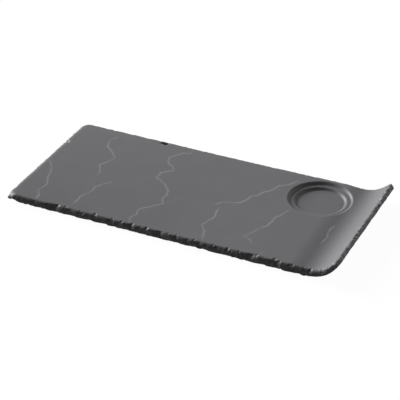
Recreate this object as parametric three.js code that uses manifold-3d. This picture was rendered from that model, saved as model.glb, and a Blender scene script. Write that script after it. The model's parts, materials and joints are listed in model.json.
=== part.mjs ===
// Slate-look porcelain serving plate: one long slab with flaked edges, a short end curled up
// as a lifting lip, and a stepped round well that seats the foot of a small cup.
// Millimetres, +Z up. The origin lies on the table under the middle of the plate, +X runs to
// the curled end and +Y to the long edge beside the well.

import * as THREE from 'three';
import { mergeVertices } from 'three/addons/utils/BufferGeometryUtils.js';
import Module from 'manifold-3d';

// Slab
const plateLength = 300;
const plateWidth = 137;
const slabThickness = 6.7;
const sideLean = 0.5;

// Curled end: the upper face turns through one angle, the underside through a larger one
const curlRadius = 40;
const curlAngle = 42.5;
const curlUnderAngle = 52;
const curlTipThickness = 4.2;

// Corners seen from above
const frontCurlCorner = 14;
const backCurlCorner = 3;
const backSquareCorner = 8;
const frontSquareCorner = 1;

// Ground foot ring under the flat part
const footHeight = 0.6;
const footWidth = 5;
const footInset = 16;
const footCorner = 12;
const footEase = 0.3;

// Cup well, from its lip inwards
const wellFromCurledEnd = 54.75;
const wellFromBackEdge = 31.9;
const wellLipRadius = 28.4;
const outerWallWidth = 3;
const outerStepDepth = 2.2;
const ledgeWidth = 2.6;
const innerWallWidth = 2.3;
const innerStepDepth = 1.5;
const wellRound = 0.9;
const wellLipLift = 0.45;
const wellCutterProud = 1;

// Front corner of the square end: worn down from above, broken away below
const cornerDrop = 2.7;
const cornerDropReach = 9;
const cornerBreak = 2.9;
const cornerBreakReach = 11;

// Flakes struck off the rim: each is a half cone that widens to a sloping end
const flakeLeastBite = 1;
const flakeBitePerLength = 0.12;
const flakeDropPerBite = 1.7;
const flakeShareOfGap = 0.85;
const flakeLongest = 20;
const flakeEndSlope = 1.8;
const flakeTilt = 0.08;
const flakeLift = 0.3;
const flakeSeed = 11;

// Bite of the flakes on the other edges, as shares of those on the front edge
const endFlakeShare = 0.6;
const backFlakeShare = 0.3;
const squareFlakeShare = 0.4;
const underFlakeShare = 0.3;

// Distances along the front rim, from the square end, at which the large flakes stop
const frontFlakeEnds = [
  23, 46, 59, 71, 82, 98, 102, 116, 124, 145, 149, 156, 165,
  170, 176, 180, 192, 200, 207, 223, 244, 251, 267, 277, 287, 295,
];

// Gaps between the smaller flakes on the other edges, and how many of them run backwards
const looseFlakeGap = 5;
const looseFlakeSpread = 13;
const backwardsShare = 0.5;

// One deep flake in the back edge
const backNotchFromCurl = 217;
const backNotchLength = 7;

// Waver of the outline: depth, the two wavelengths along the rim and their shares
const rimWaver = 0.7;
const longWave = 23.3;
const shortWave = 10.4;
const longWaveShare = 0.3;
const shortWaveShare = 0.2;

// Facets
const rimStep = 3.2;
const curlSteps = 16;
const wellSides = 72;
const roundSteps = 3;
const footCornerSteps = 6;
const flakeSides = 7;

// Worked out from the driving sizes
const topLevel = footHeight + slabThickness;
const curlTurn = THREE.MathUtils.degToRad(curlAngle);
const underTurn = THREE.MathUtils.degToRad(curlUnderAngle);
const curlReach = (curlRadius + curlTipThickness) * Math.sin(curlTurn);
const curlRise = curlRadius * (1 - Math.cos(curlTurn));
const tipUnderLevel = topLevel + curlRise - curlTipThickness * Math.cos(curlTurn);
const underRadius = (tipUnderLevel - footHeight) / (1 - Math.cos(underTurn));
const tallestPoint = topLevel + curlRise;
const topFace = {
  outward: 1,
  level: topLevel,
  curlStart: plateLength / 2 - curlReach,
  radius: curlRadius,
  turn: curlTurn,
};
const underFace = {
  outward: -1,
  level: footHeight,
  curlStart: plateLength / 2 - underRadius * Math.sin(underTurn),
  radius: underRadius,
  turn: underTurn,
};

const wasm = await Module();
wasm.setup();

function solidFrom(geometry) {
  geometry.deleteAttribute('normal');
  geometry.deleteAttribute('uv');
  const merged = mergeVertices(geometry, 1e-4);
  const vertProperties = new Float32Array(merged.attributes.position.array);
  const triVerts = new Uint32Array(merged.index.array);
  return new wasm.Manifold(new wasm.Mesh({ numProp: 3, vertProperties, triVerts }));
}

function geometryFrom(solid) {
  const { vertProperties, triVerts } = solid.getMesh();
  const geometry = new THREE.BufferGeometry();
  geometry.setAttribute('position', new THREE.BufferAttribute(vertProperties, 3));
  geometry.setIndex(new THREE.BufferAttribute(triVerts, 1));
  return geometry;
}

// Even pseudo-random numbers from 0 to 1, the same on every build
let drawn = flakeSeed;
function draw() {
  const multiplier = 16807;
  const modulus = 2147483647;
  drawn = (drawn * multiplier) % modulus;
  return drawn / modulus;
}

// Rectangle with its own radius at each corner, run anticlockwise from the front left corner
function roundedRectangle(left, right, front, back, corners) {
  const [frontLeft, frontRight, backRight, backLeft] = corners;
  const quarter = Math.PI / 2;
  const shape = new THREE.Shape();
  shape.moveTo(left + frontLeft, front);
  shape.lineTo(right - frontRight, front);
  shape.absarc(right - frontRight, front + frontRight, frontRight, -quarter, 0, false);
  shape.lineTo(right, back - backRight);
  shape.absarc(right - backRight, back - backRight, backRight, 0, quarter, false);
  shape.lineTo(left + backLeft, back);
  shape.absarc(left + backLeft, back - backLeft, backLeft, quarter, 2 * quarter, false);
  shape.lineTo(left, front + frontLeft);
  shape.absarc(left + frontLeft, front + frontLeft, frontLeft, 2 * quarter, 3 * quarter, false);
  return shape;
}

const rim = roundedRectangle(
  -plateLength / 2,
  plateLength / 2,
  -plateWidth / 2,
  plateWidth / 2,
  [frontSquareCorner, frontCurlCorner, backCurlCorner, backSquareCorner],
);
const rimLength = rim.getLength();

// Slab seen from the front: flat, then both faces turn upward and draw together at the tip
function curledSlab() {
  const down = -Math.PI / 2;
  const underCentre = underFace.level + underFace.radius;
  const topCentre = topFace.level + topFace.radius;
  const side = new THREE.Shape();
  side.moveTo(-plateLength / 2, underFace.level);
  side.lineTo(underFace.curlStart, underFace.level);
  side.absarc(underFace.curlStart, underCentre, underFace.radius, down, down + underTurn, false);
  side.absarc(topFace.curlStart, topCentre, topFace.radius, down + curlTurn, down, true);
  side.lineTo(-plateLength / 2, topLevel);
  const slab = new THREE.ExtrudeGeometry(side, {
    depth: plateWidth,
    bevelEnabled: false,
    curveSegments: curlSteps,
  });
  slab.rotateX(Math.PI / 2);
  slab.translate(0, plateWidth / 2, 0);
  return solidFrom(slab);
}

// Whole waves of about the given length, once round the rim
function rimWave(wavelength, turn) {
  return Math.sin(Math.round(rimLength / wavelength) * turn);
}

// Upright block of the plate's outline, wavering as a struck edge does and leaning in below
function outlineBlock() {
  const count = Math.round(rimLength / rimStep);
  const middle = longWaveShare + shortWaveShare;
  const points = [];
  for (let i = 0; i < count; i += 1) {
    const at = rim.getPointAt(i / count);
    const along = rim.getTangentAt(i / count);
    const turn = (2 * Math.PI * i) / count;
    const waves = longWaveShare * rimWave(longWave, turn) + shortWaveShare * rimWave(shortWave, turn);
    const inward = rimWaver * (middle + waves);
    points.push(new THREE.Vector2(at.x - along.y * inward, at.y + along.x * inward));
  }
  const block = new THREE.ExtrudeGeometry(new THREE.Shape(points), {
    depth: tallestPoint,
    bevelThickness: topLevel,
    bevelSize: sideLean,
    bevelOffset: -sideLean,
    bevelSegments: 1,
  });
  block.translate(0, 0, topLevel);
  return solidFrom(block);
}

// Foot ring with eased edges, its upper half sunk into the slab
function footRing() {
  const left = footInset - plateLength / 2;
  const right = underFace.curlStart;
  const back = plateWidth / 2 - footInset;
  const innerCorner = Math.max(footCorner - footWidth, footEase);
  const ring = roundedRectangle(left, right, -back, back, Array(4).fill(footCorner));
  ring.holes.push(
    roundedRectangle(
      left + footWidth,
      right - footWidth,
      footWidth - back,
      back - footWidth,
      Array(4).fill(innerCorner),
    ),
  );
  const foot = new THREE.ExtrudeGeometry(ring, {
    depth: 2 * footHeight - 2 * footEase,
    bevelThickness: footEase,
    bevelSize: footEase,
    bevelOffset: -footEase,
    bevelSegments: 1,
    curveSegments: footCornerSteps,
  });
  foot.translate(0, 0, footEase);
  return solidFrom(foot);
}

// Section line through the given corners, each rounded as far as its shorter side allows
function easedLine(corners, ease) {
  const line = new THREE.Path();
  line.moveTo(corners[0].x, corners[0].y);
  for (let i = 1; i < corners.length - 1; i += 1) {
    const [from, at, to] = [corners[i - 1], corners[i], corners[i + 1]];
    const reach = Math.min(ease, at.distanceTo(from) / 2, at.distanceTo(to) / 2);
    const before = at.clone().lerp(from, reach / at.distanceTo(from));
    const after = at.clone().lerp(to, reach / at.distanceTo(to));
    line.lineTo(before.x, before.y);
    line.quadraticCurveTo(at.x, at.y, after.x, after.y);
  }
  const last = corners[corners.length - 1];
  line.lineTo(last.x, last.y);
  return line.getPoints(roundSteps);
}

// Round cutter of the well: flat floor, inner wall, narrow ledge, outer wall and rounded lip
function wellCutter() {
  const ledgeOuter = wellLipRadius - outerWallWidth;
  const ledgeInner = ledgeOuter - ledgeWidth;
  const floorRadius = ledgeInner - innerWallWidth;
  const ledgeLevel = topLevel - outerStepDepth;
  const floorLevel = ledgeLevel - innerStepDepth;
  const mouthLevel = topLevel + wellCutterProud;
  const mouthRadius = wellLipRadius + 2 * wellRound;
  const section = easedLine(
    [
      new THREE.Vector2(0, floorLevel),
      new THREE.Vector2(floorRadius, floorLevel),
      new THREE.Vector2(ledgeInner, ledgeLevel),
      new THREE.Vector2(ledgeOuter, ledgeLevel),
      new THREE.Vector2(wellLipRadius, topLevel),
      new THREE.Vector2(mouthRadius, topLevel + wellLipLift),
    ],
    wellRound,
  );
  section.push(new THREE.Vector2(mouthRadius, mouthLevel), new THREE.Vector2(0, mouthLevel));
  const cutter = new THREE.LatheGeometry(section, wellSides);
  cutter.rotateX(Math.PI / 2);
  cutter.translate(plateLength / 2 - wellFromCurledEnd, plateWidth / 2 - wellFromBackEdge, 0);
  return solidFrom(cutter);
}

// Block that takes the front corner of the square end off one face of the slab, aslant
function cornerCutter(face, depth, reach) {
  const corner = new THREE.Vector3(
    -plateLength / 2,
    -plateWidth / 2,
    face.level - depth * face.outward,
  );
  const outward = new THREE.Vector3(-depth, -depth, reach * face.outward).normalize();
  const size = 3 * reach;
  const block = new THREE.BoxGeometry(size, size, size);
  block.translate(0, 0, size / 2);
  const turn = new THREE.Quaternion().setFromUnitVectors(new THREE.Vector3(0, 0, 1), outward);
  block.applyQuaternion(turn);
  block.translate(corner.x, corner.y, corner.z);
  return solidFrom(block);
}

// Axes on one face of the slab at a distance along the rim: along it, inboard and upward
function rimAxes(distance, face, inset) {
  const share = distance / rimLength;
  const at = rim.getPointAt(share);
  const along = rim.getTangentAt(share);
  const furthest = face.curlStart + face.radius * Math.sin(face.turn);
  const x = Math.min(at.x - along.y * inset, furthest);
  const turn = Math.asin(Math.max(x - face.curlStart, 0) / face.radius);
  const rise = face.radius * (1 - Math.cos(turn));
  const point = new THREE.Vector3(x, at.y + along.x * inset, face.level + rise);
  const ahead = new THREE.Vector3(along.x, along.y, along.x * Math.tan(turn)).normalize();
  const up = new THREE.Vector3(-Math.sin(turn), 0, Math.cos(turn));
  const inboard = new THREE.Vector3().crossVectors(up, ahead);
  return { point, ahead, inboard, up };
}

// One flake: a cone along the rim that widens to a sloping end at the given distance
function flake(distance, length, share, face, inset, backwards) {
  const bite = share * (flakeLeastBite + flakeBitePerLength * length);
  const cone = new THREE.ConeGeometry(1, length, flakeSides);
  cone.rotateY(2 * Math.PI * draw());
  cone.rotateZ(Math.PI / 2);
  cone.scale(1, bite, bite * flakeDropPerBite);
  cone.applyMatrix4(new THREE.Matrix4().makeShear(0, 0, 0, 0, flakeEndSlope * face.outward, 0));
  cone.rotateZ(flakeTilt * (draw() - 0.5));
  if (backwards) {
    cone.rotateZ(Math.PI);
  }
  cone.translate(0, 0, flakeLift * face.outward);
  const { point, ahead, inboard, up } = rimAxes(distance - length / 2, face, inset);
  cone.applyMatrix4(new THREE.Matrix4().makeBasis(ahead, inboard, up).setPosition(point));
  return solidFrom(cone);
}

// Flakes that fill most of each gap between one stop and the next along the rim
function flakesAlong(stops, share, face, inset, mixed) {
  const cutters = [];
  for (let i = 1; i < stops.length; i += 1) {
    const gap = stops[i] - stops[i - 1];
    const length = Math.min(flakeShareOfGap * gap, flakeLongest);
    const backwards = mixed && draw() < backwardsShare;
    cutters.push(flake(stops[i], length, share, face, inset, backwards));
  }
  return cutters;
}

// Stops at uneven gaps along one stretch of the rim, as a hammer leaves them
function looseStops({ from, to }) {
  const stops = [from];
  let next = from + looseFlakeGap + looseFlakeSpread * draw();
  while (next < to) {
    stops.push(next);
    next += looseFlakeGap + looseFlakeSpread * draw();
  }
  return stops;
}

// Straight stretches of the rim between its corners: front, curled end, back and square end
function straightStretches() {
  const lengths = [
    plateLength - frontSquareCorner - frontCurlCorner,
    plateWidth - frontCurlCorner - backCurlCorner,
    plateLength - backCurlCorner - backSquareCorner,
    plateWidth - backSquareCorner - frontSquareCorner,
  ];
  const corners = [frontCurlCorner, backCurlCorner, backSquareCorner, frontSquareCorner];
  let from = 0;
  return lengths.map((length, i) => {
    const stretch = { from, to: from + length };
    from = stretch.to + (corners[i] * Math.PI) / 2;
    return stretch;
  });
}

function plateBody() {
  let body = curledSlab().intersect(outlineBlock());
  body = body.add(footRing());
  body = body.subtract(wellCutter());
  body = body.subtract(cornerCutter(topFace, cornerDrop, cornerDropReach));
  body = body.subtract(cornerCutter(underFace, cornerBreak, cornerBreakReach));
  const [front, curledEnd, back, squareEnd] = straightStretches();
  const backNotchAt = back.from - backCurlCorner + backNotchFromCurl;
  const flakes = [
    ...flakesAlong([front.from, ...frontFlakeEnds], 1, topFace, 0, false),
    ...flakesAlong(looseStops(curledEnd), endFlakeShare, topFace, 0, true),
    ...flakesAlong(looseStops(back), backFlakeShare, topFace, 0, true),
    ...flakesAlong(looseStops(squareEnd), squareFlakeShare, topFace, 0, true),
    flake(backNotchAt, backNotchLength, 1, topFace, 0, true),
  ];
  for (const stretch of [front, curledEnd, back, squareEnd]) {
    flakes.push(...flakesAlong(looseStops(stretch), underFlakeShare, underFace, sideLean, true));
  }
  for (const cutter of flakes) {
    body = body.subtract(cutter);
  }
  return body;
}

const slateGlaze = new THREE.MeshStandardMaterial({
  color: 0x5f6062,
  roughness: 0.5,
  metalness: 0,
  flatShading: true,
});

const plate = new THREE.Group();
const body = new THREE.Mesh(geometryFrom(plateBody()), slateGlaze);
body.name = 'plate_body';
plate.add(body);

export default plate;
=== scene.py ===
import json
import math
import random

import bmesh
import bpy
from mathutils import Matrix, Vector, noise
from mathutils.kdtree import KDTree


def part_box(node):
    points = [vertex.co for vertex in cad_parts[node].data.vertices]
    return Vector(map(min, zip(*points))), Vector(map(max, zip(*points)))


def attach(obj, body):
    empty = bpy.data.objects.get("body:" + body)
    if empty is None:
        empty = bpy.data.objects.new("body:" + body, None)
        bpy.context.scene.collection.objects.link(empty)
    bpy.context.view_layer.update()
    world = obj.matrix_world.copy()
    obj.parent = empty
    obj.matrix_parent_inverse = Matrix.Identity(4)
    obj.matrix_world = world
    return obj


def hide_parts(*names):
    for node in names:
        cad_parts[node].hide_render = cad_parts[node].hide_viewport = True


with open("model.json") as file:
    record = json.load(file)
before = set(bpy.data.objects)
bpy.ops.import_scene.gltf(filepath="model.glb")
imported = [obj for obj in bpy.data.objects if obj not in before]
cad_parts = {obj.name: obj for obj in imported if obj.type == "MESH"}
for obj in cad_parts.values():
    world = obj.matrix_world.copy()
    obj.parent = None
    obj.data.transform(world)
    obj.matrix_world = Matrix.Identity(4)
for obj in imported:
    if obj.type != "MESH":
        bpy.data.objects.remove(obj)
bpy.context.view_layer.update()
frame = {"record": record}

# Outline of the slab: a long rectangle of pressed porcelain clay with four uneven corners.
# It is drawn flat, in millimetres, as the clay lies before its end is curled up, and its rim
# is measured anticlockwise from the front left corner.
MM = 0.001
low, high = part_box("plate_body")
left, right = low.x / MM, high.x / MM
front, back = low.y / MM, high.y / MM
QUARTER = math.pi / 2
corner_radii = {(1, -1): 11.5, (1, 1): 2.0, (-1, 1): 6.5, (-1, -1): 1.0}
arcs = []
for (across, deep), radius in corner_radii.items():
    centre_x = (right if across > 0 else left) - across * radius
    centre_y = (back if deep > 0 else front) - deep * radius
    arcs.append((across, deep, radius, centre_x, centre_y))
front_right, back_right, back_left, front_left = arcs
straights = (
    front_right[3] - front_left[3],
    back_right[4] - front_right[4],
    back_right[3] - back_left[3],
    back_left[4] - front_left[4],
)
side_starts, arc_starts = [], []
rim_length = 0.0
for straight, arc in zip(straights, arcs):
    side_starts.append(rim_length)
    arc_starts.append(rim_length + straight)
    rim_length += straight + arc[2] * QUARTER


def past_arc(x, y):
    """Number of the corner arc that a point faces, and its outward offsets from the arc's centre."""
    for number, (across, deep, radius, centre_x, centre_y) in enumerate(arcs):
        out_x = (x - centre_x) * across
        out_y = (y - centre_y) * deep
        if out_x > 0 and out_y > 0:
            return number, out_x, out_y
    return None


def round_off(x, y):
    """Draws the square corner of a blank in to its arc, ring by ring."""
    found = past_arc(x, y)
    if not found:
        return x, y
    number, out_x, out_y = found
    across, deep, radius, centre_x, centre_y = arcs[number]
    ring = max(out_x, out_y)
    turn = QUARTER / 2 * min(out_x, out_y) / ring
    longer, shorter = ring * math.cos(turn), ring * math.sin(turn)
    if out_x < out_y:
        longer, shorter = shorter, longer
    return centre_x + across * longer, centre_y + deep * shorter


def rim_place(x, y):
    """Distance along the rim, depth inboard of it and the direction straight out."""
    found = past_arc(x, y)
    if found:
        number, out_x, out_y = found
        across, deep, radius, centre_x, centre_y = arcs[number]
        reach = math.hypot(out_x, out_y)
        turn = math.atan2(out_y, out_x)
        if number % 2 == 0:
            turn = QUARTER - turn
        outward = Vector((across * out_x / reach, deep * out_y / reach))
        return arc_starts[number] + radius * turn, radius - reach, outward
    sides = (
        (y - front, side_starts[0] + x - front_left[3], (0, -1)),
        (right - x, side_starts[1] + y - front_right[4], (1, 0)),
        (back - y, side_starts[2] + back_right[3] - x, (0, 1)),
        (x - left, side_starts[3] + back_left[4] - y, (-1, 0)),
    )
    depth, along, outward = min(sides)
    return along, depth, Vector(outward)


# Veins: fine cleavage steps that run across the face from the far edge to the near one, pressed
# in by the mould. Each is a route of listed points, and the clay stands a little higher on
# its right-hand side.
vein_routes = (
    ((-148, -2), (-144, -6), (-138, -14), (-135, -21), (-133, -30), (-128, -39), (-128, -44),
     (-130, -52), (-125, -59), (-124, -68)),
    ((-112, 60), (-111, 57), (-114, 53), (-114, 48), (-111, 40), (-105, 35), (-96, 25), (-96, 21),
     (-100, 12), (-102, 8), (-100, 4), (-96, -3), (-96, -8)),
    ((-78, -13), (-84, -20), (-88, -27), (-87, -34), (-92, -47), (-91, -53), (-92, -61)),
    ((-39, 65), (-38, 60), (-44, 58), (-52, 46), (-50, 38), (-46, 34), (-42, 32), (-39, 28), (-40, 25),
     (-47, 19), (-47, 9), (-42, 7), (-35, 2), (-28, -6), (-26, -14), (-27, -19), (-23, -27),
     (-37, -43), (-37, -47), (-35, -51), (-38, -58), (-35, -66)),
    ((68, 57), (62, 46), (55, 41), (52, 31), (47, 26), (45, 19), (40, 15), (39, 8), (36, 2), (31, 0),
     (21, -4), (17, -11)),
    ((23, -12), (24, -23), (26, -27), (24, -33), (21, -43), (24, -47), (27, -51), (31, -64)),
    ((78, 10), (75, -3), (72, -8), (72, -15), (71, -23), (66, -29), (65, -34), (60, -45), (65, -47),
     (69, -50), (70, -53)),
    ((83, -59), (82, -66)),
    ((122, 4), (120, -4), (120, -9), (122, -18), (121, -27), (122, -30)),
)


def eased(value, start, end):
    """From 0 at start to 1 at end, with a soft beginning and end."""
    share = min(max((value - start) / (end - start), 0.0), 1.0)
    return share * share * (3 - 2 * share)


vein_step, vein_waver, waver_rate = 0.5, 0.5, 0.4
vein_taper, vein_share, vein_uneven, uneven_rate, uneven_layer = 6.0, 0.88, 0.6, 0.12, 4.0
fainter, fainter_span = 0.35, (40.0, 110.0)
vein_marks = []
for route in vein_routes:
    points = [Vector(point) for point in route]
    length = sum((b - a).length for a, b in zip(points, points[1:]))
    travelled = 0.0
    for a, b in zip(points, points[1:]):
        ahead = (b - a).normalized()
        steps = math.ceil((b - a).length / vein_step)
        for step in range(steps):
            here = a.lerp(b, step / steps)
            along = travelled + (here - a).length
            aside = vein_waver * noise.noise((waver_rate * here.x, waver_rate * here.y, 0.0))
            here += aside * Vector((-ahead.y, ahead.x))
            strength = min(1.0, (along + 1) / vein_taper, (length - along + 1) / vein_taper)
            uneven = noise.noise((uneven_rate * here.x, uneven_rate * here.y, uneven_layer))
            strength *= vein_share - fainter * eased(here.x, *fainter_span) + vein_uneven * uneven
            vein_marks.append((here, ahead, strength))
        travelled += (b - a).length
vein_tree = KDTree(len(vein_marks))
for number, (here, ahead, strength) in enumerate(vein_marks):
    vein_tree.insert((here.x, here.y, 0.0), number)
vein_tree.balance()


def nearest_vein(x, y):
    """Distance to the nearest vein, counted positive on its right-hand side, and its strength."""
    spot, number, distance = vein_tree.find((x, y, 0.0))
    here, ahead, strength = vein_marks[number]
    side = ahead.x * (y - here.y) - ahead.y * (x - here.x)
    return math.copysign(distance, side), strength


# Cup well: two shallow steps turned into the clay round the spot where the foot of a small cup
# stands, an outer wall that flares out, a narrow ledge and an inner wall.
seat = next(mount for mount in frame["record"]["mounts"] if mount["name"] == "cup_seat")
well_x, well_y = seat["pos_m"][0] / MM, seat["pos_m"][1] / MM
lip_radius, ledge_outer, ledge_inner, floor_radius = 28.9, 25.2, 23.0, 19.8
outer_step, inner_step = 2.25, 1.9


def well_depth(x, y):
    """Depth of the two steps below the flat face."""
    radius = math.hypot(x - well_x, y - well_y)
    outer = outer_step * eased(radius, lip_radius, ledge_outer)
    return outer + inner_step * eased(radius, ledge_inner, floor_radius)


# Knapped rim: the porcelain edge is pressed to look struck, as split slate is. Flakes bite deeper along
# their length and stop at a sloping end that catches the light, large ones on the front edge and small
# ones elsewhere. Round chips, a pit in the back edge and a worn front left corner come last.
first_flake_start = 20
front_flake_ends = (
    26, 50, 61, 73, 85, 101, 105, 119, 127, 147, 160, 170, 181,
    186, 198, 206, 230, 252, 261, 279, 290, 300,
)
least_bite, bite_per_length, drop_per_bite, bite_spread = 1.0, 0.12, 0.85, (0.75, 1.25)
longest_flake, flake_share_of_gap = 20.0, 0.85
end_slopes, end_skew = (1.5, 2.5), 0.5
loose_gap, loose_spread = 5.0, 13.0
chip_start, chip_gap = 35.0, (7.0, 20.0)
chip_inset, chip_size, chip_depth = (1.4, 3.0), (0.9, 1.9), 0.5
flake_shares = {"front": 1.0, "curled": 0.6, "back": 0.35, "square": 0.5, "under": 0.55}
rim_grain, rim_grain_share, rim_grain_layer = 2.5, 0.35, 3.0
top_seed, under_seed = 11, 4


class FlakedEdge:
    """The top or the bottom edge of the rim, with the flakes that are struck off it."""

    cell = 10.0

    def __init__(self, seed):
        self.chance = random.Random(seed)
        self.flakes = {}
        self.chips = {}

    def strike(self, end, length, share, forward=True):
        """One flake, which stops at a distance along the rim."""
        bite = share * (least_bite + bite_per_length * length) * self.chance.uniform(*bite_spread)
        flake = (end - length, length, bite, self.chance.uniform(*end_slopes), forward)
        for cell in range(int((end - length) // self.cell), int(end // self.cell) + 1):
            self.flakes.setdefault(cell, []).append(flake)

    def strike_between(self, stops, share, mixed):
        """A flake before each stop; mixed flakes run either way along the rim."""
        for begin, end in zip(stops, stops[1:]):
            length = min(flake_share_of_gap * (end - begin), longest_flake)
            self.strike(end, length, share, not mixed or self.chance.random() < 0.5)

    def strike_loose(self, side, share):
        """Flakes at uneven distances along one straight side."""
        stops = [side_starts[side]]
        while stops[-1] < arc_starts[side]:
            stops.append(stops[-1] + loose_gap + loose_spread * self.chance.random())
        self.strike_between(stops[:-1], share, True)

    def chip(self, side):
        """Small round chips close to the edge along one straight side."""
        place = side_starts[side] + chip_start
        while place < arc_starts[side]:
            place += self.chance.uniform(*chip_gap)
            inset, size = self.chance.uniform(*chip_inset), self.chance.uniform(*chip_size)
            self.pock(place, inset, size)

    def pock(self, place, inset, size):
        """One round chip."""
        for cell in range(int((place - size) // self.cell), int((place + size) // self.cell) + 1):
            self.chips.setdefault(cell, []).append((place, inset, size))

    def drop(self, along, depth):
        """How far the flakes cut into the face at a place near the rim."""
        deepest = 0.0
        grain = noise.noise((along / rim_grain, depth / rim_grain, rim_grain_layer))
        rough = 1 + rim_grain_share * grain
        for begin, length, bite, slope, forward in self.flakes.get(int(along // self.cell), ()):
            run = along - begin if forward else begin + length - along
            reach = rough * bite * run / length
            if 0 < run < length and depth < reach:
                wedge = drop_per_bite * (reach - depth) * (1 + depth / reach)
                end_face = (length - run - end_skew * depth) / slope
                deepest = max(deepest, min(wedge, end_face))
        for place, inset, size in self.chips.get(int(along // self.cell), ()):
            off = math.hypot(along - place, depth - inset) / size
            deepest = max(deepest, chip_depth * size * (1 - off * off))
        return deepest


top_edge, under_edge = FlakedEdge(top_seed), FlakedEdge(under_seed)
top_edge.strike_between((first_flake_start, *front_flake_ends), flake_shares["front"], False)
for side, name in ((1, "curled"), (2, "back"), (3, "square")):
    top_edge.strike_loose(side, flake_shares[name])
for side in range(2):
    top_edge.chip(side)
for side in range(4):
    under_edge.strike_loose(side, flake_shares["under"])
square_chip_y, square_chip_inset, square_chip_size = 33.0, 1.9, 2.6
top_edge.pock(side_starts[3] + back_left[4] - square_chip_y, square_chip_inset, square_chip_size)
back_pit = Vector((-68.0, 66.0))
back_pit_half, back_pit_depth = Vector((5.0, 2.6)), 3.0
pit_lean, pit_far_wall = 1.2, 3.0
tip_drop, tip_top_reach, tip_hollow = 2.3, 7.0, 1.5
tip_rise, tip_under_reach = 2.9, 11.0


def pit_drop(x, y):
    """A small pit struck into the face by the back edge, steep on its far side."""
    across, deep = (x - back_pit.x) / back_pit_half.x, (y - back_pit.y) / back_pit_half.y
    if abs(across) >= 1 or abs(deep) >= 1:
        return 0.0
    lengthwise = (1 - across * across) * (1 + across) / pit_lean
    crosswise = (1 + deep) / 2 * min(1.0, pit_far_wall * (1 - deep))
    return back_pit_depth * lengthwise * crosswise


def tip_cuts(x, y):
    """How far the sharp front left corner is worn down from above and cut away from below."""
    away = math.hypot(x - left, y - front)
    worn = tip_drop * max(0.0, 1 - away / tip_top_reach) ** tip_hollow
    return worn, tip_rise * max(0.0, 1 - away / tip_under_reach)


# Plate body: one piece of porcelain with a slate-grey glaze. The blank is a closed slab, meshed finely
# only near the rim, the well walls and the veins. Each point is pressed to its place: rim, well and
# veins first, and the curled end last, which turns up out of the flat and draws thinner to its tip.
cell_size = 2.0
side_rows, blank_middle = 9, 0.5
rim_zone, vein_zone, well_zone = 5.0, 1.6, 1.0
finer_within = (3.0, 0.3)
body = bmesh.new()
columns, rows = round((right - left) / cell_size), round((back - front) / cell_size)
bmesh.ops.create_grid(body, x_segments=columns, y_segments=rows, size=0.5)
bmesh.ops.scale(body, vec=(right - left, back - front, 1), verts=body.verts)
bmesh.ops.translate(body, vec=((left + right) / 2, (front + back) / 2, 0), verts=body.verts)
top = bmesh.ops.extrude_face_region(body, geom=body.faces[:], use_keep_orig=True)
top_verts = [item for item in top["geom"] if isinstance(item, bmesh.types.BMVert)]
bmesh.ops.translate(body, vec=(0, 0, 1), verts=top_verts)
bmesh.ops.recalc_face_normals(body, faces=body.faces)


def room_round(face):
    """Distance from a face of the blank to the nearest zone that needs a finer mesh."""
    middle = face.calc_center_median()
    x, y = round_off(middle.x, middle.y)
    room = rim_place(x, y)[1] - rim_zone
    if middle.z > blank_middle:
        radius = math.hypot(x - well_x, y - well_y)
        off_wall = max(radius - lip_radius, floor_radius - radius)
        room = min(room, off_wall - well_zone, abs(nearest_vein(x, y)[0]) - vein_zone)
    return room


for within in finer_within:
    edges = set()
    for face in body.faces:
        if room_round(face) < within:
            edges.update(edge for edge in face.edges if edge.verts[0].co.z == edge.verts[1].co.z)
    bmesh.ops.subdivide_edges(body, edges=list(edges), cuts=1, use_grid_fill=True)
upright = [edge for edge in body.edges if edge.verts[0].co.z != edge.verts[1].co.z]
bmesh.ops.subdivide_edges(body, edges=upright, cuts=side_rows - 1, use_grid_fill=True)

slab_thickness, foot_height = 6.7, 0.6
curl_radius, curl_turn, under_turn, tip_thickness = 40.0, math.radians(42.5), math.radians(52), 4.2
top_start = right - (curl_radius + tip_thickness) * math.sin(curl_turn)
tip_level = slab_thickness + curl_radius * (1 - math.cos(curl_turn)) - tip_thickness * math.cos(curl_turn)
under_radius = tip_level / (1 - math.cos(under_turn))
under_start = right - under_radius * math.sin(under_turn)


def bent(x, start, radius, full_turn):
    """Place and rise of a point of one face once the clay past start is turned up."""
    if x <= start:
        return x, 0.0
    turn = full_turn * (x - start) / (right - start)
    return start + radius * math.sin(turn), radius * (1 - math.cos(turn))


def curled(x, height):
    """Place along the plate and level above the table of a point of the flat slab."""
    top_x, top_rise = bent(x, top_start, curl_radius, curl_turn)
    under_x, under_rise = bent(x, under_start, under_radius, under_turn)
    share = height / slab_thickness
    under_level = foot_height + under_rise
    top_level = foot_height + slab_thickness + top_rise
    return under_x + share * (top_x - under_x), under_level + share * (top_level - under_level)


crowding, crowd_fade = 0.8, 12.0
rim_full, square_full, rim_waver, waver_fade = 0.75, 0.9, 0.5, 9.0
long_waver, short_waver, short_share, short_layer = 11, 3.5, 0.25, 7.0
edge_width, edge_drop, under_width, under_rise = 2.9, 3.2, 0.8, 0.25
back_sharper, square_sharper, curl_sharper, square_wider = 0.875, 0.5, 0.4, 1.3
under_cut = 0.5
back_full, back_full_span, corner_full_span = 1.0, (-40.0, 110.0), (132.0, 150.0)
dimple, curl_dimple, dimple_width, dimple_height, dimple_fade = 0.6, 0.7, 5.0, 0.45, 3.0
dimple_bowl, dimple_grain, dimple_grain_rate = 0.8, 0.4, 3
swell, swell_length, swell_layer = 0.05, 27, 1.0
ripple, ripple_length, ripple_layer = 0.015, 7, 5.0
rim_ripple, rim_ripple_length, rim_ripple_layer, rim_ripple_fade = 0.04, 3, 9.0, 12
roll_rise, roll_rise_span = 0.5, (0.0, 85.0)
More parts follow.
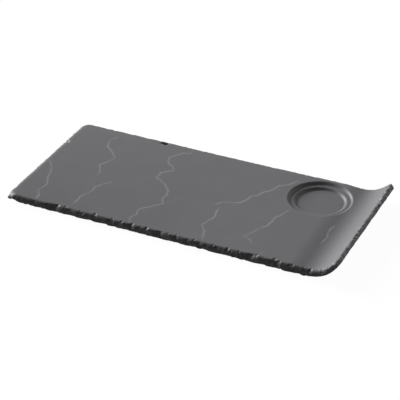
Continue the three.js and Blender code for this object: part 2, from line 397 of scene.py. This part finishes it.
roll_fall, roll_fall_span, roll_back_span = 1.2, (107.0, 134.0), (134.0, 158.0)
flare, flare_along, flare_across = 1.1, (124.0, 146.0), (34.0, 66.0)
vein_rise, vein_width, vein_fall, vein_end_fade, vein_line = 0.06, 0.8, 10.0, 6.0, 0.72
# Reach and share of the paler rim colour, which is partly a painted highlight along the rounded edge.
pale_rim_reach, square_pale_rim_reach, pale_flake_share = 1.0, 1.4, 0.5
vein_layer = body.verts.layers.float.new("vein")
flaked_layer = body.verts.layers.float.new("flaked")


def rounding(depth, width, drop):
    """Drop of a rounded edge at a depth inboard of it."""
    if depth >= width:
        return 0.0
    return drop * (1 - math.sqrt(1 - (1 - depth / width) ** 2))


for vert in body.verts:
    x, y = round_off(vert.co.x, vert.co.y)
    share = vert.co.z
    along, depth, outward = rim_place(x, y)
    near_rim = max(0.0, 1 - depth / crowd_fade)
    crowded = crowding * depth / (depth + crowding) * near_rim
    depth -= crowded
    edge = Vector((x, y)) + outward * crowded
    wave = (1 + noise.noise((edge.x / long_waver, edge.y / long_waver, 0.0))) / 2
    wave += short_share * noise.noise((edge.x / short_waver, edge.y / short_waver, short_layer))
    inward = rim_waver * min(max(wave, 0.0), 1.0) - rim_full - square_full * max(0.0, -outward.x)
    fuller = eased(-x, *back_full_span) + eased(x, *corner_full_span)
    inward -= back_full * max(0.0, outward.y) * fuller
    inward *= max(0.0, 1 - depth / waver_fade)
    near_edge = max(0.0, 1 - depth / dimple_fade)
    if near_edge:
        spot = (edge.x / dimple_width, edge.y / dimple_width, share / dimple_height)
        nearest = noise.voronoi(spot)[0][0]
        struck = max(0.0, dimple_bowl - nearest * nearest)
        struck += dimple_grain * noise.noise([dimple_grain_rate * place for place in spot])
        struck *= dimple + curl_dimple * max(0.0, outward.x)
        inward += (struck + under_cut * (1 - share) ** 2) * near_edge
    edge -= outward * inward
    x, y = edge

    worn, raised = tip_cuts(x, y)
    flaked = top_edge.drop(along, depth)
    distance, strength = nearest_vein(x, y)
    sharper = max(0.0, back_sharper * outward.y, curl_sharper * outward.x, -square_sharper * outward.x)
    shoulder = edge_drop * (1 - sharper)
    shoulder_width = edge_width + square_wider * max(0.0, -outward.x)
    roll = roll_fall * (eased(x, *roll_fall_span) - eased(x, *roll_back_span))
    roll -= roll_rise * eased(x, *roll_rise_span)
    face_drop = max(roll, well_depth(x, y) - roll_rise)
    face_drop -= flare * eased(x, *flare_along) * eased(y, *flare_across)
    face_drop += flaked + rounding(depth, shoulder_width, shoulder) + pit_drop(x, y) + worn
    face_drop += swell * noise.noise((x / swell_length, y / swell_length, swell_layer))
    face_drop += ripple * noise.noise((x / ripple_length, y / ripple_length, ripple_layer))
    rim_rough = noise.noise((x / rim_ripple_length, y / rim_ripple_length, rim_ripple_layer))
    face_drop += rim_ripple * rim_rough * max(0.0, 1 - depth / rim_ripple_fade)
    beyond = eased(distance, -vein_width, 0.0) * math.exp(-max(distance, 0.0) / vein_fall)
    face_drop -= vein_rise * strength * beyond * eased(depth, 0.0, vein_end_fade)
    under = rounding(depth, under_width, under_rise) + under_edge.drop(along, depth) + raised
    height = under + share * (slab_thickness - face_drop - under)
    x, level = curled(x, height)
    vert.co = (x, y, level)
    if share == 1:
        vert[vein_layer] = strength * math.exp(-(distance / vein_line) ** 2)
    # Paler colour near the rim, on the sides, flake faces and worn tip: glaze paler over the edge, partly
    # a painted highlight on the rounded rim and painted light on the curled end's face.
    bare = 1 - eased(depth, 0.0, pale_rim_reach + square_pale_rim_reach * max(0.0, -outward.x))
    vert[flaked_layer] = max(pale_flake_share * min(1.0, flaked) * (share == 1), bare, min(1.0, worn))

bmesh.ops.scale(body, vec=(MM, MM, MM), verts=body.verts)
bmesh.ops.recalc_face_normals(body, faces=body.faces)
mesh = bpy.data.meshes.new("glazed_plate")
body.to_mesh(mesh)
body.free()
mesh.shade_smooth()
plate = bpy.data.objects.new("glazed_plate", mesh)
bpy.context.scene.collection.objects.link(plate)


class Shade:
    """A socket of a material that takes part in plain arithmetic."""

    def __init__(self, tree, socket=None):
        self.tree = tree
        self.socket = socket

    def node(self, kind, settings=None, sockets=None, output=0):
        """Any node: its type, its settings, and the values or links of its sockets."""
        made = self.tree.nodes.new(kind)
        for name, value in (settings or {}).items():
            setattr(made, name, value)
        for name, value in (sockets or {}).items():
            if isinstance(value, Shade):
                self.tree.links.new(value.socket, made.inputs[name])
            else:
                made.inputs[name].default_value = value
        return Shade(self.tree, made.outputs[output]) if made.outputs else made

    def maths(self, operation, first, second):
        """One Math node on two values or sockets."""
        return self.node("ShaderNodeMath", {"operation": operation}, {0: first, 1: second})

    def __add__(self, other):
        return self.maths("ADD", self, other)

    def __radd__(self, other):
        return self.maths("ADD", other, self)

    def __sub__(self, other):
        return self.maths("SUBTRACT", self, other)

    def __rsub__(self, other):
        return self.maths("SUBTRACT", other, self)

    def __mul__(self, other):
        return self.maths("MULTIPLY", self, other)

    def __rmul__(self, other):
        return self.maths("MULTIPLY", other, self)


def blank_material(name):
    """A new material with an empty tree, and the Shade that its nodes are made with."""
    material = bpy.data.materials.new(name)
    material.use_nodes = True
    material.node_tree.nodes.clear()
    return material, Shade(material.node_tree)


def blend_colours(shade, share, first, second):
    """From the first colour to the second as share goes from 0 to 1."""
    return shade.node("ShaderNodeMix", {"data_type": "RGBA"}, {0: share, 6: first, 7: second}, 2)


# Paler grey of the rim band and flake faces, partly painted highlight and painted light; pale grey of the
# flecks, partly painted glints.
pale_rim_and_highlight_grey, pale_fleck_and_glint_grey = (0.16, 0.16, 0.164, 1), (0.29, 0.29, 0.294, 1)
slate_grey = (0.111, 0.111, 0.115, 1)
slate_deep = (0.092, 0.092, 0.096, 1)
# Darker grey of the painted shade at the foot of the curl.
curl_foot_shade_grey = (0.085, 0.085, 0.089, 1)
# Paler grey of the vein lines, partly a painted highlight on the vein steps.
vein_and_highlight_grey = (0.165, 0.165, 0.170, 1)
cloud_scale, grain_scale, speck_scale = 45.0, 900.0, 230.0
# The last two set a painted light falloff across the face and the place along the plate where it turns
# over.
cloud_share, grain_share, light_falloff, light_falloff_middle = 0.7, 0.3, 34.0, 0.06
hollow_middle, hollow_half, hollow_share = 0.121, 0.0125, 0.75
fleck_contrast, fleck_cut, fleck_share = 8.0, 3.9, 0.75
glaze_rough, cloud_rough, bare_rough, glaze_sheen = 0.42, 0.06, 0.06, 0.08
relief_strength, relief_depth = 0.25, 0.00015
glaze, shade = blank_material("slate_glaze")
coords = shade.node("ShaderNodeTexCoord", output="Object")
clouds = shade.node("ShaderNodeTexNoise", sockets={"Vector": coords, "Scale": cloud_scale, "Detail": 4.0})
grain = shade.node("ShaderNodeTexNoise", sockets={"Vector": coords, "Scale": grain_scale, "Detail": 3.0})
vein = shade.node("ShaderNodeAttribute", {"attribute_name": "vein"}, output="Fac")
flaked = shade.node("ShaderNodeAttribute", {"attribute_name": "flaked"}, output="Fac")
along = shade.node("ShaderNodeSeparateXYZ", sockets={"Vector": coords}, output="X")
across = shade.node("ShaderNodeSeparateXYZ", sockets={"Vector": coords}, output="Y")
# Random cloudy mottle and grain, plus a painted light falloff: paler towards the back left, darker
# towards the front left, and weakly the other way near the curled end.
mottle_and_light_falloff = cloud_share * clouds + grain_share * grain + light_falloff * across * (light_falloff_middle - along)
ground = blend_colours(shade, mottle_and_light_falloff, slate_deep, slate_grey)
# Painted shade: a darker band across the face where it dips at the foot of the curl.
hollow = (1 / hollow_half) * (along - hollow_middle)
curl_foot_shade = shade.maths("MAXIMUM", 1.0 - hollow * hollow, 0.0)
ground = blend_colours(shade, hollow_share * curl_foot_shade, ground, curl_foot_shade_grey)
# Paler grey along each vein: a paler line in the glaze, partly a painted highlight on the vein's step.
ground = blend_colours(shade, vein, ground, vein_and_highlight_grey)
# Rim band, sides, flake faces and worn tip painted paler: glaze paler over the edge, partly painted
# highlight on the rounded rim and painted light on the curled end's face.
ground = blend_colours(shade, flaked, ground, pale_rim_and_highlight_grey)
# Pale flecks on the flaked areas: pale specks in the glaze, partly painted glints like those on struck
# facets.
specks = shade.node("ShaderNodeTexNoise", sockets={"Vector": coords, "Scale": speck_scale, "Detail": 3.0})
fleck_and_glint = shade.maths("MAXIMUM", fleck_contrast * specks - fleck_cut, 0.0)
fleck_and_glint = shade.maths("MINIMUM", fleck_and_glint, 1.0)
ground = blend_colours(shade, fleck_share * fleck_and_glint * flaked, ground, pale_fleck_and_glint_grey)
relief = shade.node(
    "ShaderNodeBump",
    sockets={"Strength": relief_strength, "Distance": relief_depth, "Height": grain},
)
surface = shade.node(
    "ShaderNodeBsdfPrincipled",
    sockets={
        "Base Color": ground,
        "Roughness": glaze_rough + cloud_rough * clouds + bare_rough * flaked,
        "Normal": relief,
        "Specular IOR Level": glaze_sheen,
    },
)
shade.node("ShaderNodeOutputMaterial", sockets={"Surface": surface})
mesh.materials.append(glaze)
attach(plate, "root")
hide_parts("plate_body")

# Foot ring: the low ring of the same clay that the plate stands on, pressed in one with the body. Its
# lower face is ground flat and left bare of glaze, so the fired body shows there, dull and paler.
foot_width, foot_inset, foot_corner, foot_sunk, foot_ease = 5.0, 16.0, 12.0, 0.4, 0.3
corner_segments, ease_segments = 10, 3
foot_left, foot_right = left + foot_inset, under_start
foot_half = (back - front) / 2 - foot_inset
ring = bmesh.new()
bmesh.ops.create_grid(ring, x_segments=1, y_segments=1, size=0.5)
bmesh.ops.scale(ring, vec=(foot_right - foot_left, 2 * foot_half, 1), verts=ring.verts)
bmesh.ops.translate(ring, vec=((foot_left + foot_right) / 2, 0, 0), verts=ring.verts)
bmesh.ops.bevel(
    ring,
    geom=ring.verts[:],
    offset=foot_corner,
    affect="VERTICES",
    segments=corner_segments,
    profile=0.5,
    material=-1,
)
bmesh.ops.inset_region(
    ring, faces=ring.faces[:], thickness=foot_width, use_boundary=True, use_even_offset=True
)
inner_face = max(ring.faces, key=lambda face: face.calc_area())
bmesh.ops.delete(ring, geom=[inner_face], context="FACES_ONLY")
ring_top = bmesh.ops.extrude_face_region(ring, geom=ring.faces[:], use_keep_orig=True)
ring_top_verts = [item for item in ring_top["geom"] if isinstance(item, bmesh.types.BMVert)]
bmesh.ops.translate(ring, vec=(0, 0, foot_height + foot_sunk), verts=ring_top_verts)
bmesh.ops.recalc_face_normals(ring, faces=ring.faces)
lower = [
    edge
    for edge in ring.edges
    if all(vert.co.z == 0 for vert in edge.verts) and edge.calc_face_angle(0) > QUARTER / 2
]
bmesh.ops.bevel(
    ring, geom=lower, offset=foot_ease, affect="EDGES", segments=ease_segments, profile=0.5, material=-1
)
bmesh.ops.scale(ring, vec=(MM, MM, MM), verts=ring.verts)
ring_mesh = bpy.data.meshes.new("foot_ring")
ring.to_mesh(ring_mesh)
ring.free()
foot = bpy.data.objects.new("foot_ring", ring_mesh)
bpy.context.scene.collection.objects.link(foot)
bare_grey, bare_pale = (0.13, 0.13, 0.13, 1), (0.17, 0.168, 0.165, 1)
sand_scale, foot_rough, sand_rough, sand_strength, sand_depth = 700.0, 0.75, 0.2, 0.4, 0.0001
bare, shade = blank_material("bare_foot")
coords = shade.node("ShaderNodeTexCoord", output="Object")
sand = shade.node("ShaderNodeTexNoise", sockets={"Vector": coords, "Scale": sand_scale, "Detail": 5.0})
relief = shade.node(
    "ShaderNodeBump",
    sockets={"Strength": sand_strength, "Distance": sand_depth, "Height": sand},
)
surface = shade.node(
    "ShaderNodeBsdfPrincipled",
    sockets={
        "Base Color": blend_colours(shade, sand, bare_grey, bare_pale),
        "Roughness": foot_rough + sand_rough * sand,
        "Normal": relief,
    },
)
shade.node("ShaderNodeOutputMaterial", sockets={"Surface": surface})
ring_mesh.materials.append(bare)
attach(foot, "root")
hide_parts("plate_body")

# Floor: a plain white table top that fades into a white room. It looks white to the camera and in
# reflections, and keeps a faint part of the plate's shadow. For all other light it is dim, so that
# little bounces up under the rim.
floor_size = 6.0
floor_white, floor_dim = (0.9, 0.9, 0.9, 1), (0.14, 0.14, 0.14, 1)
floor_glow = 0.97
table = bmesh.new()
bmesh.ops.create_grid(table, x_segments=1, y_segments=1, size=floor_size / 2)
table_mesh = bpy.data.meshes.new("floor")
table.to_mesh(table_mesh)
table.free()
floor = bpy.data.objects.new("floor", table_mesh)
bpy.context.scene.collection.objects.link(floor)


def seen_rays(shade):
    """1 for what the camera sees, straight or in a reflection or through glass, and 0 for other light."""
    camera_ray = shade.node("ShaderNodeLightPath", output="Is Camera Ray")
    glossy_ray = shade.node("ShaderNodeLightPath", output="Is Glossy Ray")
    clear_ray = shade.node("ShaderNodeLightPath", output="Is Transmission Ray")
    return shade.maths("MAXIMUM", camera_ray, shade.maths("MAXIMUM", glossy_ray, clear_ray))


paint, shade = blank_material("floor_white")
seen = seen_rays(shade)
matt = shade.node("ShaderNodeBsdfDiffuse", sockets={"Color": floor_white})
glow = shade.node("ShaderNodeEmission", sockets={"Color": (1, 1, 1, 1), "Strength": 1.0})
shown = shade.node("ShaderNodeMixShader", sockets={0: floor_glow, 1: matt, 2: glow})
unseen = shade.node("ShaderNodeBsdfDiffuse", sockets={"Color": floor_dim})
mixed = shade.node("ShaderNodeMixShader", sockets={0: seen, 1: unseen, 2: shown})
shade.node("ShaderNodeOutputMaterial", sockets={"Surface": mixed})
table_mesh.materials.append(paint)

# Light: one broad soft lamp low behind the left end, a weak and wider one from the back right, and a
# dim even room, which looks white to the camera and in reflections. Each lamp has its bearing, rise
# and spread in degrees, and its strength.
room_light, room_seen = 0.07, 1.0
world = bpy.data.worlds.new("room")
bpy.context.scene.world = world
world.use_nodes = True
world.node_tree.nodes.clear()
shade = Shade(world.node_tree)
seen = seen_rays(shade)
room = shade.node(
    "ShaderNodeBackground",
    sockets={"Color": (1, 1, 1, 1), "Strength": room_light + (room_seen - room_light) * seen},
)
shade.node("ShaderNodeOutputWorld", sockets={"Surface": room})
lamps = {
    "low_lamp": (165, 20, 26, 9.25),
    "fill_lamp": (42, 22, 60, 1.0),
}
for name, (bearing, rise, spread, strength) in lamps.items():
    lamp = bpy.data.lights.new(name, "SUN")
    lamp.angle = math.radians(spread)
    lamp.energy = strength
    turn, lift = math.radians(bearing), math.radians(rise)
    lamp_from = Vector((math.cos(turn) * math.cos(lift), math.sin(turn) * math.cos(lift), math.sin(lift)))
    stand = bpy.data.objects.new(name, lamp)
    stand.rotation_euler = lamp_from.to_track_quat("Z", "Y").to_euler()
    bpy.context.scene.collection.objects.link(stand)

# Camera: stands off the front right of the plate and looks down on it through a long lens, at the
# photograph's angle.
azimuth, elevation = math.radians(25.08), math.radians(31.49)
aim = Vector((-1.98, 2.38, 0.0)) * MM
stand_off = 1.3729
focal_pixels, image_pixels, sensor = 1600, 400, 36.0
lens = bpy.data.cameras.new("camera")
lens.sensor_width = sensor
lens.lens = sensor * focal_pixels / image_pixels
towards = Vector(
    (
        math.sin(azimuth) * math.cos(elevation),
        -math.cos(azimuth) * math.cos(elevation),
        math.sin(elevation),
    )
)
camera = bpy.data.objects.new("camera", lens)
camera.location = aim + stand_off * towards
camera.rotation_euler = towards.to_track_quat("Z", "Y").to_euler()
bpy.context.scene.collection.objects.link(camera)
bpy.context.scene.camera = camera
bpy.context.scene.view_settings.view_transform = "Standard"
